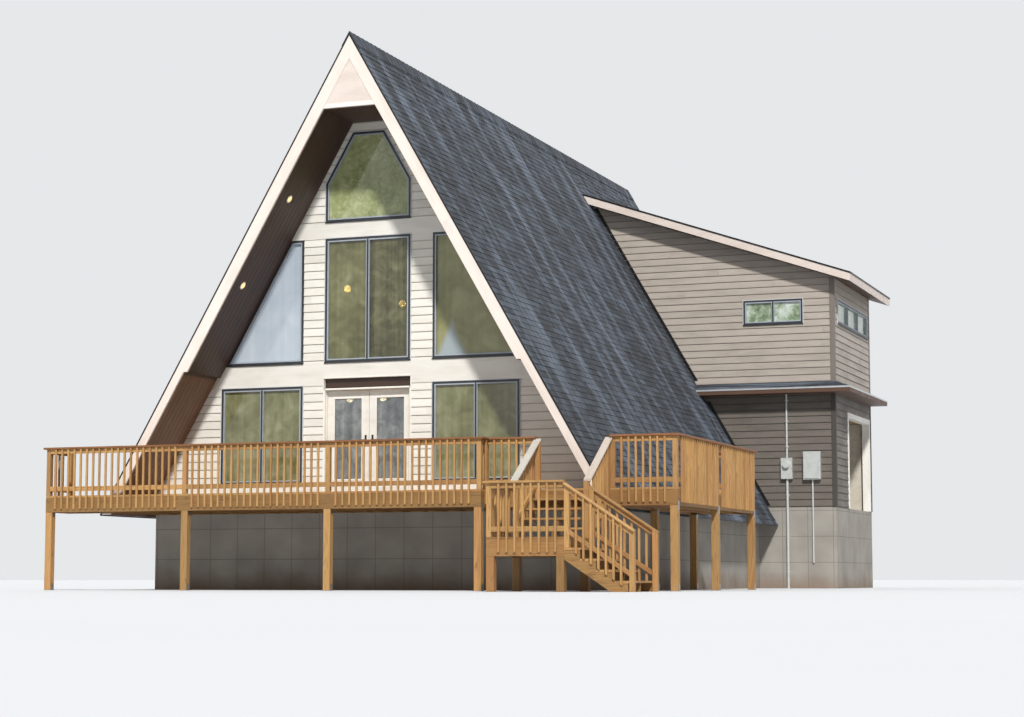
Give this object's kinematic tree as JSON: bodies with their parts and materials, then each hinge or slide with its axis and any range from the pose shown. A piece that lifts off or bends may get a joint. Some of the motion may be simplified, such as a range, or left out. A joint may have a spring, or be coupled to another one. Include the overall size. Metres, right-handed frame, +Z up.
{
  "type": "a-frame cabin",
  "caption": "A-frame cabin with a glazed gable, a shingled roof down to its raised deck, wooden railings and stairs, and a shed-roofed side wing with an open bay.",
  "frame": {"origin": "on the ground under the ridge, half way along the house, on the underside of the foundation's middle wall", "axes": "X runs across the gable, to the right seen from the front; Y runs from the front gable to the back; Z is up"},
  "size_m": [13.394, 21.259, 10.8342],
  "materials": {
    "concrete": "cast concrete, light grey",
    "siding": "painted lap siding, taupe",
    "dark_siding": "painted lap siding, dark grey",
    "trim": "painted boards, light beige",
    "shingles": "mineral shingles, charcoal",
    "soffit": "stained boards, dark brown",
    "peak": "painted board, light beige",
    "window_frame": "dark bronze coating",
    "glass": "clear window glass",
    "white_wood": "white paint",
    "hinge": "brushed",
    "floor_boards": "bare boards",
    "pine": "treated pine, weathered yellow",
    "box_metal": "grey enamel"
  },
  "bodies": {
    "house": {"foundation": "concrete", "ground_floor": "floor_boards", "upper_floor": "floor_boards", "front_wall_left": "siding", "front_wall_right": "siding", "front_wall_upper": "siding", "back_wall": "siding", "wall_bands": "trim", "roof_left": "shingles", "roof_right": "shingles", "ridge_cap": "shingles", "rake_boards_left": "trim", "rake_boards_right": "trim", "gable_peaks": "peak", "soffit_left": "soffit", "soffit_right": "soffit", "front_windows": "window_frame", "front_glass": "glass", "back_windows": "window_frame", "back_glass": "glass", "door_frame": "white_wood", "door_hinges": "hinge", "wing_foundation": "concrete", "wing_front_lower": "dark_siding", "wing_side_lower": "dark_siding", "bay_inner_wall": "siding", "wing_front_upper": "siding", "wing_side_upper": "siding", "wing_back_wall": "siding", "wing_floor": "floor_boards", "wing_roof": "shingles", "wing_fascia": "trim", "pent_roof": "shingles", "wing_windows": "window_frame", "wing_glass": "glass", "meter_box": "box_metal", "panel_box": "box_metal", "deck_frame": "pine", "deck_floor": "pine", "side_deck_frame": "pine", "side_deck_floor": "pine", "deck_posts": "pine", "front_railing": "pine", "left_railing": "pine", "corner_railing": "pine", "side_railing": "pine", "side_end_railings": "pine", "stair_treads": "pine", "stair_stringers": "pine", "landing": "pine", "upper_handrails": "pine", "lower_handrails": "pine", "landing_front_railing": "pine", "landing_side_railing": "pine"},
    "left_door": {"front_door_left": "white_wood", "door_glass_left": "glass"},
    "right_door": {"front_door_right": "white_wood", "door_glass_right": "glass"}
  },
  "joints": [
    {"name": "left_door_hinge", "type": "hinge", "parent": "house", "child": "left_door", "pos_m": [-1.1155, -7.59226, 1.91], "axis": [0, 0, 1], "range_deg": [0, 100]},
    {"name": "right_door_hinge", "type": "hinge", "parent": "house", "child": "right_door", "pos_m": [0.7155, -7.59226, 1.91], "axis": [0, 0, -1], "range_deg": [0, 100]}
  ]
}
